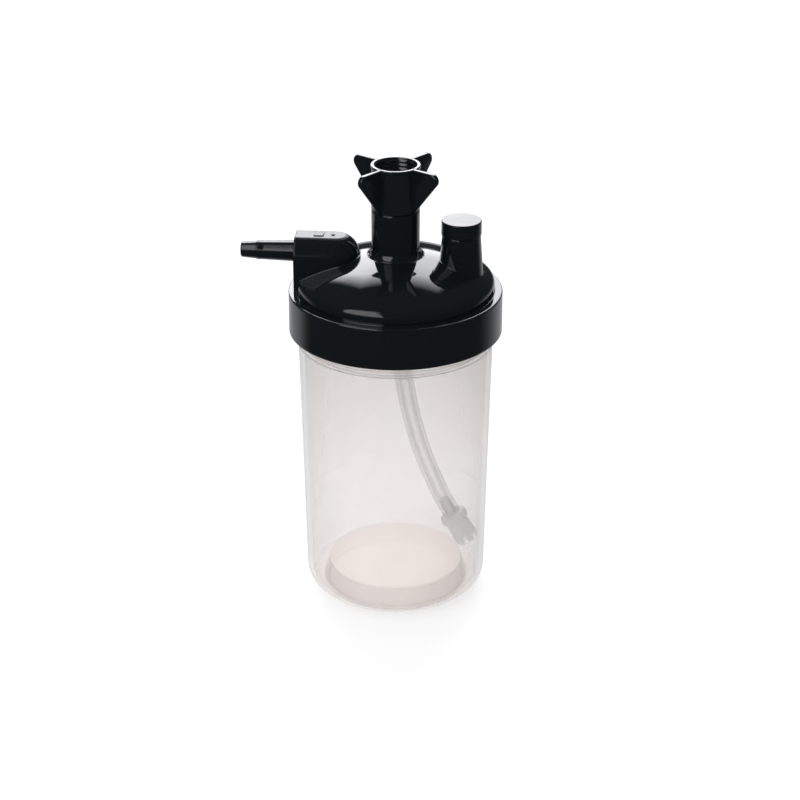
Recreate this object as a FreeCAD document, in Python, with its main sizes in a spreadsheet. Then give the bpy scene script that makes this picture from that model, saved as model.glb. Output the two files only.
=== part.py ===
"""Bubble humidifier bottle for an oxygen concentrator: a clear cup with a screw-on black lid.

Millimetres, +Z up. The origin is the centre of the ring that the cup stands on, the cup's axis is Z, the outlet
nipple points along -X and the relief valve stands on +X. Each sub-part is one object whose Label is its file's name.
"""
import FreeCAD, Part
import Sketcher
import math
import os

doc = FreeCAD.newDocument("humidifier_bottle")
sheet = doc.addObject("Spreadsheet::Sheet", "Sheet")


class Size:
    """A length with its present value and the expression that ties it to the sheet."""

    def __init__(self, value, text):
        self.value = float(value)
        self.text = text

    def joined(self, sign, other, value):
        return Size(value, f"({self.text} {sign} {other.text})")

    def __add__(self, other):
        other = as_size(other)
        return self.joined("+", other, self.value + other.value)

    def __sub__(self, other):
        other = as_size(other)
        return self.joined("-", other, self.value - other.value)

    def __mul__(self, other):
        other = as_size(other)
        return self.joined("*", other, self.value * other.value)

    def __truediv__(self, other):
        other = as_size(other)
        return self.joined("/", other, self.value / other.value)

    def __radd__(self, other):
        return as_size(other) + self

    def __rsub__(self, other):
        return as_size(other) - self

    def __rmul__(self, other):
        return as_size(other) * self

    def __neg__(self):
        return as_size(0) - self


def as_size(number):
    return number if isinstance(number, Size) else Size(number, repr(float(number)))


def root(size):
    return Size(math.sqrt(size.value), f"sqrt({size.text})")


def driving(name, value):
    """A driving dimension: one row of the sheet, a plain number with its name as the alias."""
    driving.row += 1
    sheet.set(f"A{driving.row}", name)
    sheet.set(f"B{driving.row}", str(value))
    sheet.setAlias(f"B{driving.row}", name)
    return Size(value, f"Sheet.{name}")


driving.row = 0


def bind(item, field, size):
    """Set a property to a size and keep it tied to the sheet."""
    size = as_size(size)
    if "." not in field:
        setattr(item, field, size.value)
    item.setExpression(field, size.text)


# ---- clearances ----
running_gap = driving("running_gap", 0.35)      # between a turning piece and what it turns in
rim_gap = driving("rim_gap", 0.3)               # between rings that stay apart
thread_gap = driving("thread_gap", 0.25)        # along the axis, between the two screw ridges

# ---- cup ----
cup_top_r = driving("cup_top_r", 33.0)
cup_taper = driving("cup_taper", 1.7)           # how much narrower the wall is just above the foot
cup_wall = driving("cup_wall", 1.75)
cup_shoulder = driving("cup_shoulder", 92.8)    # height where the plain wall ends
bead_tall = driving("bead_tall", 1.8)
bead_proud = driving("bead_proud", 0.4)
neck_wall = driving("neck_wall", 1.35)
neck_tall = driving("neck_tall", 14.7)          # from the shoulder to the rim
heel_round = driving("heel_round", 7.0)         # outer rounding at the foot
push_up = driving("push_up", 6.4)               # height of the hollow under the floor
floor_inset = driving("floor_inset", 7.9)       # from the wall's foot to the edge of the raised floor
floor_flare = driving("floor_flare", 1.7)
trough_flat = driving("trough_flat", 0.2)
mark_proud = driving("mark_proud", 0.25)
mark_tall = driving("mark_tall", 1.0)
mark_arc = driving("mark_arc", 26.0)            # degrees round the cup
mark_right = driving("mark_right", 22.0)        # where each bar starts, degrees from +X
mark_left = driving("mark_left", 132.0)
low_mark = driving("low_mark", 30.0)
high_mark = driving("high_mark", 68.0)

# ---- screw between cup and lid ----
screw_pitch = driving("screw_pitch", 4.0)
screw_turns = driving("screw_turns", 1.5)
ridge_deep = driving("ridge_deep", 1.1)
ridge_foot = driving("ridge_foot", 1.6)
ridge_crest = driving("ridge_crest", 0.9)
ridge_root = driving("ridge_root", 0.4)         # how far a ridge's root sinks into its wall
screw_lead = driving("screw_lead", 1.7)         # from the skirt's lower edge to the middle of the lid's ridge

# ---- lid ----
skirt_wall = driving("skirt_wall", 2.0)
skirt_tall = driving("skirt_tall", 14.1)
seat_thick = driving("seat_thick", 2.0)
skirt_draft = driving("skirt_draft", 0.1)
rim_wide = driving("rim_wide", 2.7)             # the flat ring between the skirt's edge and the dome
dome_ball = driving("dome_ball", 65.0)          # radius of the domed top
dome_rise = driving("dome_rise", 13.0)          # top of the dome above the skirt's flat rim
dome_wall = driving("dome_wall", 2.0)
dome_round = driving("dome_round", 2.8)
gasket_thick = driving("gasket_thick", 1.5)
gasket_lap = driving("gasket_lap", 0.2)         # how far the gasket reaches inside the cup's bore
edge_soft = driving("edge_soft", 0.5)           # rounding or chamfer of the lid's outer edges

# ---- inlet stem, nipple and nut ----
nut_wall = driving("nut_wall", 1.65)            # outside the thread's minor radius
stem_step = driving("stem_step", 0.05)          # the stem is this much slimmer than the nut
stem_tall = driving("stem_tall", 28.4)          # top of the stem above the skirt's flat rim
flare_wide = driving("flare_wide", 1.45)
flare_tall = driving("flare_tall", 2.2)
head_inset = driving("head_inset", 0.35)        # the nipple's head, inside the thread's minor radius
head_lap = driving("head_lap", 1.0)             # the head's overhang beyond the shank
inlet_bore = driving("inlet_bore", 2.2)
seat_short = driving("seat_short", 1.0)         # the shank ends this far above the dome's top
boss_low = driving("boss_low", 5.0)             # shoulder that the dip tube butts on, below the rim
spigot_long = driving("spigot_long", 7.0)
spigot_wall = driving("spigot_wall", 0.7)
nut_tall = driving("nut_tall", 15.2)
nut_floor = driving("nut_floor", 2.6)
nut_lip = driving("nut_lip", 0.2)               # the top ring stands this much proud of the nut
head_thick = driving("head_thick", 2.0)
washer_thick = driving("washer_thick", 1.2)
washer_inset = driving("washer_inset", 0.8)     # the washer's hole is wider than the nipple's by this
inlet_minor_r = driving("inlet_minor_r", 6.45)  # minor radius of the 9/16-18 inlet thread
inlet_deep = driving("inlet_deep", 0.55)
inlet_pitch = driving("inlet_pitch", 1.4111)
mouth_lead = driving("mouth_lead", 0.75)        # chamfer at the nut's mouth
lip_tall = driving("lip_tall", 1.2)
wing_out = driving("wing_out", 12.3)            # from the hub to a wing's tip, before it is rounded
wing_low = driving("wing_low", 0.15)            # where a wing's slanted edge leaves the hub
wing_thick = driving("wing_thick", 1.9)
wing_root = driving("wing_root", 0.6)           # how far a wing reaches into the hub's wall
wing_round = driving("wing_round", 2.25)
wing_turn = driving("wing_turn", -35.7)         # degrees from +X to the first wing

# ---- outlet ----
housing_r = driving("housing_r", 8.0)
housing_proud = driving("housing_proud", 0.2)   # the flat outer face stands this far out of the dome's wall
housing_long = driving("housing_long", 13.7)    # from that face to the centre of the ball that ends the housing
housing_rise = driving("housing_rise", 11.0)    # centre of the round, above the skirt's flat rim
housing_flat = driving("housing_flat", 18.3)    # flat top, above the skirt's flat rim
housing_wall = driving("housing_wall", 2.0)
badge_long = driving("badge_long", 3.2)         # a plain raised rectangle on the flat top
badge_wide = driving("badge_wide", 3.4)
badge_in = driving("badge_in", 6.3)             # from the outer face
badge_proud = driving("badge_proud", 0.25)
dot_r = driving("dot_r", 0.6)
dot_in = driving("dot_in", 12.6)
nipple_rise = driving("nipple_rise", 12.2)
nipple_long = driving("nipple_long", 18.5)
nipple_root = driving("nipple_root", 3.55)
nipple_land = driving("nipple_land", 3.2)
land_long = driving("land_long", 2.5)
nipple_neck = driving("nipple_neck", 3.0)
nipple_tip = driving("nipple_tip", 2.6)
nipple_bore = driving("nipple_bore", 1.5)
tip_long = driving("tip_long", 5.4)

# ---- relief valve ----
tower_inset = driving("tower_inset", 11.4)      # from the dome's wall to the tower's axis
tower_wall = driving("tower_wall", 1.75)
tower_flare = driving("tower_flare", 1.2)
tower_tall = driving("tower_tall", 20.2)        # above the skirt's flat rim
tower_bore = driving("tower_bore", 4.7)
valve_floor = driving("valve_floor", 10.0)      # inside floor above the skirt's flat rim
port_r = driving("port_r", 2.0)
seat_ring = driving("seat_ring", 0.8)
cap_lap = driving("cap_lap", 0.25)              # the cap is this much wider than the tower
cap_tall = driving("cap_tall", 4.8)
cap_plate = driving("cap_plate", 1.6)
plug_long = driving("plug_long", 2.7)
plug_wall = driving("plug_wall", 1.0)
seal_thick = driving("seal_thick", 1.2)
seal_lap = driving("seal_lap", 0.7)             # the seal reaches this far outside the seat ring
poppet_thick = driving("poppet_thick", 1.4)
poppet_gap = driving("poppet_gap", 0.8)         # between the poppet and the tower's bore, for the air
guide_pin_r = driving("guide_pin_r", 1.2)
guide_gap = driving("guide_gap", 0.1)
guide_wall = driving("guide_wall", 0.8)
vent_wide = driving("vent_wide", 3.0)
vent_up = driving("vent_up", 0.6)               # how far the vent shows above the tower's top edge
relief_travel = driving("relief_travel", 1.5)
spring_wire = driving("spring_wire", 0.5)
spring_turns = driving("spring_turns", 7)

# ---- dip tube and diffuser ----
tube_bore = driving("tube_bore", 2.0)
tube_wall = driving("tube_wall", 1.15)
tube_low = driving("tube_low", 26.0)            # height of the tube's lower end
boss_wall = driving("boss_wall", 0.85)          # the boss is this much larger than the tube
flange_wide = driving("flange_wide", 1.65)      # the diffuser's flange, outside the tube
flange_long = driving("flange_long", 3.0)
crown_wide = driving("crown_wide", 1.05)
crown_long = driving("crown_long", 8.5)
crown_wall = driving("crown_wall", 1.0)
notch_wide = driving("notch_wide", 1.9)
notch_deep = driving("notch_deep", 2.6)
stone_short = driving("stone_short", 0.9)       # the stone ends this far inside the crown
press = driving("press", 0.05)                  # a pushed-in spigot is this much larger than the bore
pin_long = driving("pin_long", 6.5)

# ---- sizes that follow ----
cup_base_r = cup_top_r - cup_taper
floor_r = cup_base_r - floor_inset
rim_height = cup_shoulder + neck_tall
neck_r = cup_top_r - cup_wall + neck_wall
skirt_bore = neck_r + ridge_deep + rim_gap
skirt_r = skirt_bore + skirt_wall
dome_r = skirt_r - rim_wide
nut_r = inlet_minor_r + nut_wall
mouth_r = inlet_minor_r + mouth_lead
head_r = inlet_minor_r - head_inset
shank_r = head_r - head_lap
wing_r = nut_r + wing_out
stem_r = nut_r - stem_step
flare_r = stem_r + flare_wide
housing_face = dome_r + housing_proud
housing_nose = housing_face - housing_long
tower_x = dome_r - tower_inset
tower_r = tower_bore + tower_wall
tower_root = tower_r + tower_flare
cap_r = tower_r + cap_lap
seal_r = port_r + seat_ring + seal_lap
poppet_r = tower_bore - poppet_gap
guide_r = guide_pin_r + guide_gap
plug_inner = tower_bore - plug_wall
spring_r = (guide_r + guide_wall + plug_inner) / 2
tube_r = tube_bore + tube_wall
boss_r = tube_r + boss_wall
spigot_bore = tube_bore - spigot_wall
flange_r = tube_r + flange_wide
crown_r = tube_r + crown_wide

# ---- heights that follow ----
rim_seat = rim_height + gasket_thick            # underside of the lid's seat
rim_top = rim_seat + seat_thick                 # the skirt's flat rim
skirt_low = rim_top - skirt_tall
screw_start = skirt_low + screw_lead            # middle of the lid's ridge at its lower end
stem_top = rim_top + stem_tall
ball_z = rim_top + dome_rise - dome_ball
valve_z = rim_top + valve_floor
seat_z = valve_z + port_r * 0.3
tower_top = rim_top + tower_tall
cap_top = tower_top + cap_tall
disc_z = seat_z + seal_thick
spring_z = disc_z + poppet_thick
spring_top = cap_top - cap_plate
shoulder_z = rim_top - boss_low                 # the boss's lower face, where the dip tube starts
spigot_low = shoulder_z - spigot_long
seat_deep = stem_tall - dome_rise - seat_short  # how far the inlet nipple's shank goes down into the stem
doc.recompute()


# ---- helpers ----
def plane(body, role):
    return next(item for item in body.Origin.OriginFeatures if item.Role == role)


def new_sketch(body, name, role="XZ_Plane"):
    sketch = body.newObject("Sketcher::SketchObject", name)
    sketch.AttachmentSupport = [(plane(body, role), "")]
    sketch.MapMode = "FlatFace"
    return sketch


def arc_through(start, end, radius):
    """The arc from start to end; a negative radius puts its centre on the right of the way along."""
    chord = end - start
    half = chord.Length / 2
    aside = math.sqrt(max(radius * radius - half * half, 0.0))
    left = FreeCAD.Vector(-chord.y, chord.x, 0).normalize()
    centre = (start + end) * 0.5 + left * math.copysign(aside, radius)
    from_angle = math.atan2(start.y - centre.y, start.x - centre.x)
    to_angle = math.atan2(end.y - centre.y, end.x - centre.x)
    circle = Part.Circle(centre, FreeCAD.Vector(0, 0, 1), abs(radius))
    if radius > 0:
        return Part.ArcOfCircle(circle, from_angle, to_angle), (1, 2)
    return Part.ArcOfCircle(circle, to_angle, from_angle), (2, 1)


def tie(sketch, kind, geometry, point, size):
    """Hold one coordinate of a sketch point, from the origin, at a size."""
    size = as_size(size)
    if abs(size.value) < 1e-9:
        axis = -2 if kind == "DistanceX" else -1
        sketch.addConstraint(Sketcher.Constraint("PointOnObject", geometry, point, axis))
        return
    if size.value < 0:
        size = -size
        constraint = Sketcher.Constraint(kind, geometry, point, -1, 1, size.value)
    else:
        constraint = Sketcher.Constraint(kind, -1, 1, geometry, point, size.value)
    index = sketch.addConstraint(constraint)
    sketch.setExpression(f"Constraints[{index}]", size.text)


def outline(sketch, corners):
    """A closed outline. A corner is (across, up), or (across, up, radius) where an arc ends in it."""
    spots = [FreeCAD.Vector(as_size(c[0]).value, as_size(c[1]).value, 0) for c in corners]
    ends = []
    for number, corner in enumerate(corners):
        start = spots[number - 1]
        end = spots[number]
        if len(corner) == 3:
            radius = as_size(corner[2])
            edge, order = arc_through(start, end, radius.value)
            geometry = sketch.addGeometry(edge, False)
            size = radius if radius.value > 0 else -radius
            index = sketch.addConstraint(Sketcher.Constraint("Radius", geometry, size.value))
            sketch.setExpression(f"Constraints[{index}]", size.text)
        else:
            geometry = sketch.addGeometry(Part.LineSegment(start, end), False)
            order = (1, 2)
        ends.append((geometry, order))
    for number, corner in enumerate(corners):
        geometry, order = ends[number]
        after, after_order = ends[(number + 1) % len(corners)]
        sketch.addConstraint(Sketcher.Constraint("Coincident", geometry, order[1], after, after_order[0]))
        tie(sketch, "DistanceX", geometry, order[1], corner[0])
        tie(sketch, "DistanceY", geometry, order[1], corner[1])


def new_body(name):
    body = doc.addObject("PartDesign::Body", name)
    body.Label = name
    return body


def turned(name, corners, angle=360):
    """A body turned about Z from its half section."""
    body = new_body(name)
    sketch = new_sketch(body, f"{name}_section")
    outline(sketch, corners)
    turn = body.newObject("PartDesign::Revolution", f"{name}_turn")
    turn.Profile = sketch
    turn.ReferenceAxis = (sketch, ["V_Axis"])
    bind(turn, "Angle", angle)
    return body


def screw_ridge(body, name, corners, pitch, height, kind="PartDesign::AdditiveHelix"):
    """A right-hand ridge or groove wound about Z from its section in the XZ plane."""
    sketch = new_sketch(body, f"{name}_section")
    outline(sketch, corners)
    helix = body.newObject(kind, name)
    helix.Profile = sketch
    helix.ReferenceAxis = (sketch, ["V_Axis"])
    helix.Mode = "pitch-height-angle"
    bind(helix, "Pitch", pitch)
    bind(helix, "Height", height)
    return helix


def primitive(kind, name, sizes, base=(0, 0, 0), turn=(0, 0, 1, 0)):
    """A Part primitive with its sizes and its place tied to the sheet; turn is an axis and degrees."""
    item = doc.addObject(kind, name)
    for field, size in sizes.items():
        bind(item, field, size)
    spots = [as_size(value) for value in base]
    rotation = FreeCAD.Rotation(FreeCAD.Vector(*turn[:3]), turn[3])
    item.Placement = FreeCAD.Placement(FreeCAD.Vector(*[spot.value for spot in spots]), rotation)
    for letter, spot in zip("xyz", spots):
        item.setExpression(f"Placement.Base.{letter}", spot.text)
    return item


def fused(name, items):
    fuse = doc.addObject("Part::MultiFuse", name)
    fuse.Shapes = items
    fuse.Refine = True
    fuse.Label = name
    return fuse


def cut(name, base, tool):
    result = doc.addObject("Part::Cut", name)
    result.Base = base
    result.Tool = tool
    result.Refine = True
    result.Label = name
    return result


def carry(item, x=0, z=0):
    """Move an object along X and Z by sizes."""
    item.Placement = FreeCAD.Placement(FreeCAD.Vector(as_size(x).value, 0, as_size(z).value), FreeCAD.Rotation())
    item.setExpression("Placement.Base.x", as_size(x).text)
    item.setExpression("Placement.Base.z", as_size(z).text)
    return item


# ---- cup ----
def cup_outside(height):
    """Outer radius of the cup's plain wall at a height."""
    share = (height - heel_round) / (cup_shoulder - heel_round)
    return cup_base_r + (cup_top_r - cup_base_r) * share


def make_cup():
    inner_base_r = cup_base_r - cup_wall
    inner_top_r = cup_top_r - cup_wall
    trough_r = floor_r + floor_flare + trough_flat
    trough_round = inner_base_r - trough_r
    foot_r = floor_r + floor_flare - cup_wall * 0.9
    bead_top = cup_shoulder + bead_tall
    bead_r = cup_top_r + bead_proud
    soft = bead_proud * 0.5
    shell = turned("cup_shell", [
        (0, push_up),
        (floor_r - cup_wall * 0.8, push_up),
        (foot_r, 0),
        (cup_base_r - heel_round, 0),
        (cup_base_r, heel_round, heel_round),
        (cup_top_r, cup_shoulder),
        (bead_r - soft, cup_shoulder),
        (bead_r, cup_shoulder + soft, soft),
        (bead_r, bead_top - soft),
        (bead_r - soft, bead_top, soft),
        (neck_r, bead_top),
        (neck_r, rim_height - soft),
        (neck_r - soft, rim_height, soft),
        (inner_top_r, rim_height),
        (inner_top_r, cup_shoulder),
        (inner_base_r, cup_wall + trough_round),
        (trough_r, cup_wall, -trough_round),
        (floor_r + floor_flare, cup_wall),
        (floor_r, push_up + cup_wall),
        (0, push_up + cup_wall),
    ])
    ridge_z = screw_start + (ridge_foot + ridge_crest) / 2 + thread_gap
    screw_ridge(shell, "cup_ridge", ridge_corners(neck_r, ridge_deep, ridge_z, 1), screw_pitch,
                screw_pitch * screw_turns)
    marks = []
    for level, height in (("low", low_mark), ("high", high_mark)):
        wall = cup_outside(height)
        for side, start in (("right", mark_right), ("left", mark_left)):
            bar = turned(f"{level}_{side}_mark", [
                (wall - cup_wall / 2, height),
                (wall + mark_proud, height),
                (wall + mark_proud, height + mark_tall),
                (wall - cup_wall / 2, height + mark_tall),
            ], mark_arc)
            bar.Placement = FreeCAD.Placement(FreeCAD.Vector(), FreeCAD.Rotation(start.value, 0, 0))
            bar.setExpression("Placement.Rotation.Angle", start.text)
            marks.append(bar)
    return fused("cup", [shell] + marks)


def ridge_corners(wall_r, deep, height, side):
    """Section of a screw ridge on a wall; side is +1 outwards, -1 inwards. Its root sinks into the wall."""
    root_r = wall_r - side * ridge_root
    crest_r = wall_r + side * deep
    return [
        (root_r, height - ridge_foot / 2),
        (crest_r, height - ridge_crest / 2),
        (crest_r, height + ridge_crest / 2),
        (root_r, height + ridge_foot / 2),
    ]


# ---- lid ----
def make_lid():
    ball = dome_ball - dome_round
    round_z = ball_z + root(ball * ball - (dome_r - dome_round) * (dome_r - dome_round))
    meet_r = (dome_r - dome_round) * dome_ball / ball
    meet_z = ball_z + (round_z - ball_z) * dome_ball / ball
    flare_z = ball_z + root(dome_ball * dome_ball - flare_r * flare_r)
    core = turned("lid_core", [
        (0, skirt_low),
        (skirt_r + skirt_draft, skirt_low),
        (skirt_r, rim_top - edge_soft),
        (skirt_r - edge_soft, rim_top, edge_soft),
        (dome_r, rim_top),
        (dome_r, round_z),
        (meet_r, meet_z, dome_round),
        (flare_r, flare_z, dome_ball),
        (flare_r, flare_z + 0.2),
        (stem_r, flare_z + flare_tall, -flare_tall * 1.2),
        (stem_r, stem_top - edge_soft),
        (stem_r - edge_soft, stem_top),
        (0, stem_top),
    ])
    hollow = turned("lid_hollow", hollow_corners())
    screw_ridge(hollow, "lid_ridge", ridge_corners(skirt_bore, ridge_deep, screw_start, -1), screw_pitch,
                screw_pitch * screw_turns, "PartDesign::SubtractiveHelix")
    stem_bore = turned("stem_bore", [
        (0, spigot_low - 1),
        (spigot_bore, spigot_low - 1),
        (spigot_bore, stem_top - seat_deep),
        (shank_r, stem_top - seat_deep),
        (shank_r, stem_top + 1),
        (0, stem_top + 1),
    ])
    solid = fused("lid_outside", [core] + housing_solids() + [outlet_solid(), tower_solid()])
    hulled = cut("lid_hulled", solid, fused("lid_space", [hollow, housing_space(), outlet_space(), tower_space()]))
    return cut("lid", hulled, stem_bore)


def hollow_corners():
    """The space inside the skirt and under the dome, round the boss and the dip tube's spigot."""
    inner_ball = dome_ball - dome_wall
    inner_r = dome_r - dome_wall
    corner_z = ball_z + root(inner_ball * inner_ball - inner_r * inner_r)
    boss_z = ball_z + root(inner_ball * inner_ball - boss_r * boss_r)
    space_low = skirt_low - spigot_long
    return [
        (0, space_low),
        (skirt_bore + edge_soft, space_low),
        (skirt_bore + edge_soft, skirt_low),
        (skirt_bore, skirt_low + edge_soft),
        (skirt_bore, rim_seat),
        (inner_r, rim_seat),
        (inner_r, corner_z),
        (boss_r, boss_z, inner_ball),
        (boss_r, shoulder_z),
        (tube_bore + press, shoulder_z),
        (tube_bore + press, spigot_low + edge_soft * 3),
        (tube_bore - edge_soft / 2, spigot_low),
        (0, spigot_low),
    ]


def housing_solids():
    """Outlet housing: a round-topped box with a ball nose, cut flat on top, down to the rim and the dome."""
    centre_z = rim_top + housing_rise
    barrel_long = housing_face - housing_nose
    barrel = primitive("Part::Cylinder", "housing_barrel", {"Radius": housing_r, "Height": barrel_long},
                       (-housing_face, 0, centre_z), (0, 1, 0, 90))
    nose = primitive("Part::Sphere", "housing_ball", {"Radius": housing_r}, (-housing_nose, 0, centre_z))
    skirt = primitive("Part::Box", "housing_sides",
                      {"Length": barrel_long, "Width": housing_r * 2, "Height": housing_rise},
                      (-housing_face, -housing_r, rim_top))
    post = primitive("Part::Cylinder", "housing_post", {"Radius": housing_r, "Height": housing_rise},
                     (-housing_nose, 0, rim_top))
    above = primitive("Part::Box", "housing_above",
                      {"Length": housing_face, "Width": housing_r * 2, "Height": housing_r},
                      (-housing_face - 1, -housing_r, rim_top + housing_flat))
    badge_low = rim_top + housing_flat - badge_proud
    badge = primitive("Part::Box", "housing_badge",
                      {"Length": badge_long, "Width": badge_wide, "Height": badge_proud * 2},
                      (-housing_face + badge_in, -badge_wide / 2, badge_low))
    dot = primitive("Part::Cylinder", "housing_dot", {"Radius": dot_r, "Height": badge_proud * 2},
                    (-housing_face + dot_in, 0, badge_low))
    body = cut("housing", fused("housing_round", [barrel, nose, skirt, post]), above)
    return [body, badge, dot]


def housing_space():
    """The passage inside the housing, open to the space under the dome."""
    inner_r = housing_r - housing_wall
    centre_z = rim_top + housing_flat - housing_wall - inner_r
    long = housing_face - housing_wall - housing_nose
    barrel = primitive("Part::Cylinder", "passage_barrel", {"Radius": inner_r, "Height": long},
                       (-housing_face + housing_wall, 0, centre_z), (0, 1, 0, 90))
    nose = primitive("Part::Sphere", "passage_ball", {"Radius": inner_r}, (-housing_nose, 0, centre_z))
    sides = primitive("Part::Box", "passage_sides",
                      {"Length": long, "Width": inner_r * 2, "Height": centre_z - rim_top - 1},
                      (-housing_face + housing_wall, -inner_r, rim_top + 1))
    reach = primitive("Part::Cylinder", "passage_post", {"Radius": inner_r, "Height": centre_z - rim_top - 1},
                      (-housing_nose, 0, rim_top + 1))
    inside = primitive("Part::Cylinder", "passage_bound",
                       {"Radius": dome_r - dome_wall, "Height": housing_flat}, (0, 0, rim_top))
    space = fused("passage_all", [barrel, nose, sides, reach])
    common = doc.addObject("Part::MultiCommon", "passage")
    common.Shapes = [space, inside]
    return common


def along_outlet(name, corners):
    """A body turned about the outlet's own axis; a corner is (radius, distance out from the housing's face)."""
    body = turned(name, corners)
    body.Placement = FreeCAD.Placement(
        FreeCAD.Vector(-housing_face.value, 0, (rim_top + nipple_rise).value),
        FreeCAD.Rotation(FreeCAD.Vector(0, 1, 0), -90))
    body.setExpression("Placement.Base.x", (-housing_face).text)
    body.setExpression("Placement.Base.z", (rim_top + nipple_rise).text)
    return body


def outlet_solid():
    step = nipple_long - tip_long
    return along_outlet("outlet_nipple", [
        (0, -housing_wall),
        (nipple_root, -housing_wall),
        (nipple_root, 0),
        (nipple_land, step - land_long),
        (nipple_land, step),
        (nipple_neck, step),
        (nipple_tip, nipple_long - edge_soft),
        (nipple_tip - edge_soft, nipple_long, edge_soft),
        (0, nipple_long),
    ])


def outlet_space():
    return along_outlet("outlet_bore", [
        (0, -housing_wall - 1),
        (nipple_bore, -housing_wall - 1),
        (nipple_bore, nipple_long + 1),
        (0, nipple_long + 1),
    ])


def on_tower(item):
    return carry(item, x=tower_x)


def tower_solid():
    soft = edge_soft * 0.6
    return on_tower(turned("tower", [
        (0, rim_top + 1),
        (tower_root, rim_top + 1),
        (tower_root, rim_top + 3),
        (tower_r, tower_top - soft),
        (tower_r - soft, tower_top),
        (0, tower_top),
    ]))


def tower_space():
    return on_tower(turned("tower_bore", [
        (0, rim_top + 1),
        (port_r, rim_top + 1),
        (port_r, seat_z),
        (port_r + seat_ring, seat_z),
        (port_r + seat_ring * 1.6, valve_z),
        (tower_bore, valve_z),
        (tower_bore, tower_top + 1),
        (0, tower_top + 1),
    ]))


# ---- seal between cup and lid ----
def make_gasket():
    return turned("lid_gasket", [
        (cup_top_r - cup_wall - gasket_lap, rim_height),
        (skirt_bore - rim_gap, rim_height),
        (skirt_bore - rim_gap, rim_seat),
        (cup_top_r - cup_wall - gasket_lap, rim_seat),
    ])


# ---- inlet nipple, washer and wing nut ----
def make_inlet():
    head_z = stem_top + nut_floor + nut_lip
    soft = edge_soft * 0.6
    turned("inlet_nipple", [
        (inlet_bore, stem_top - seat_deep),
        (shank_r - soft, stem_top - seat_deep),
        (shank_r, stem_top - seat_deep + soft),
        (shank_r, head_z),
        (head_r, head_z),
        (head_r, head_z + head_thick),
        (inlet_bore, head_z + head_thick),
    ])
    turned("inlet_washer", [
        (inlet_bore + washer_inset, head_z + head_thick),
        (head_r, head_z + head_thick),
        (head_r, head_z + head_thick + washer_thick),
        (inlet_bore + washer_inset, head_z + head_thick + washer_thick),
    ])


def make_nut():
    """The nut is drawn from its own lower face, then lifted onto the stem and turned."""
    soft = edge_soft * 0.6
    thread_low = nut_floor + nut_lip + head_thick + washer_thick + 0.2
    mouth_z = nut_tall - mouth_lead
    nut = turned("wing_nut", [
        (shank_r + running_gap, 0),
        (nut_r - soft, 0),
        (nut_r, soft),
        (nut_r, nut_tall - lip_tall),
        (nut_r + nut_lip, nut_tall - lip_tall + 0.4),
        (nut_r + nut_lip, nut_tall - 0.2),
        (nut_r, nut_tall),
        (mouth_r, nut_tall),
        (inlet_minor_r, mouth_z),
        (inlet_minor_r, thread_low),
        (inlet_minor_r + 0.3, thread_low - 0.2),
        (inlet_minor_r + 0.3, nut_floor),
        (shank_r + running_gap, nut_floor),
    ])
    sketch = new_sketch(nut, "wing_side")
    rise = nut_tall - wing_low
    slant = root(wing_out * wing_out + rise * rise)
    reach = wing_round * (slant + wing_out) / rise      # from the sharp tip to where its rounding starts
    outline(sketch, [
        (nut_r - wing_root, wing_low),
        (nut_r, wing_low),
        (wing_r - reach * wing_out / slant, nut_tall - reach * rise / slant),
        (wing_r - reach, nut_tall, wing_round),
        (nut_r - wing_root, nut_tall),
    ])
    wing = nut.newObject("PartDesign::Pad", "wing")
    wing.Profile = sketch
    wing.Midplane = True
    bind(wing, "Length", wing_thick)
    wings = nut.newObject("PartDesign::PolarPattern", "wings")
    wings.Originals = [wing]
    wings.Axis = (nut.Group[0], ["V_Axis"])
    wings.Angle = 360
    wings.Occurrences = 4
    nut.Tip = wings
    cutter = screw_ridge(nut, "inlet_thread", [
        (inlet_minor_r - 0.2, thread_low + 1.0),
        (inlet_minor_r + inlet_deep, thread_low + 1.45),
        (inlet_minor_r + inlet_deep, thread_low + 1.55),
        (inlet_minor_r - 0.2, thread_low + 2.0),
    ], inlet_pitch, inlet_pitch * 5, "PartDesign::SubtractiveHelix")
    nut.Tip = cutter
    nut.Placement = FreeCAD.Placement(FreeCAD.Vector(0, 0, stem_top.value),
                                      FreeCAD.Rotation(FreeCAD.Vector(0, 0, 1), wing_turn.value))
    nut.setExpression("Placement.Base.z", stem_top.text)
    nut.setExpression("Placement.Rotation.Angle", wing_turn.text)


# ---- relief valve ----
def make_relief_valve():
    soft = edge_soft * 0.8
    pin_top = spring_top - relief_travel - rim_gap
    guide_low = spring_top - plug_long
    plug_low = tower_top - plug_long
    on_tower(turned("relief_seal", [
        (0, seat_z),
        (seal_r, seat_z),
        (seal_r, disc_z),
        (0, disc_z),
    ]))
    on_tower(turned("relief_poppet", [
        (0, disc_z),
        (poppet_r, disc_z),
        (poppet_r, spring_z),
        (guide_pin_r, spring_z),
        (guide_pin_r, pin_top),
        (0, pin_top),
    ]))
    cap = on_tower(turned("cap_solid", [
        (0, spring_top),
        (guide_r, spring_top),
        (guide_r, guide_low),
        (guide_r + guide_wall, guide_low),
        (guide_r + guide_wall, spring_top),
        (plug_inner, spring_top),
        (plug_inner, plug_low),
        (tower_bore, plug_low),
        (tower_bore, tower_top),
        (cap_r, tower_top),
        (cap_r, cap_top - soft),
        (cap_r - soft, cap_top, soft),
        (0, cap_top),
    ]))
    vent = primitive("Part::Box", "cap_vent",
                     {"Length": vent_wide, "Width": cap_r, "Height": plug_long + vent_up + 1},
                     (tower_x - vent_wide / 2, plug_inner - rim_gap, plug_low - 1))
    cut("relief_cap", cap, vent)
    on_tower(coil("relief_spring", spring_r, spring_wire, spring_z + 0.02, spring_top - 0.02, spring_turns))


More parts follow.
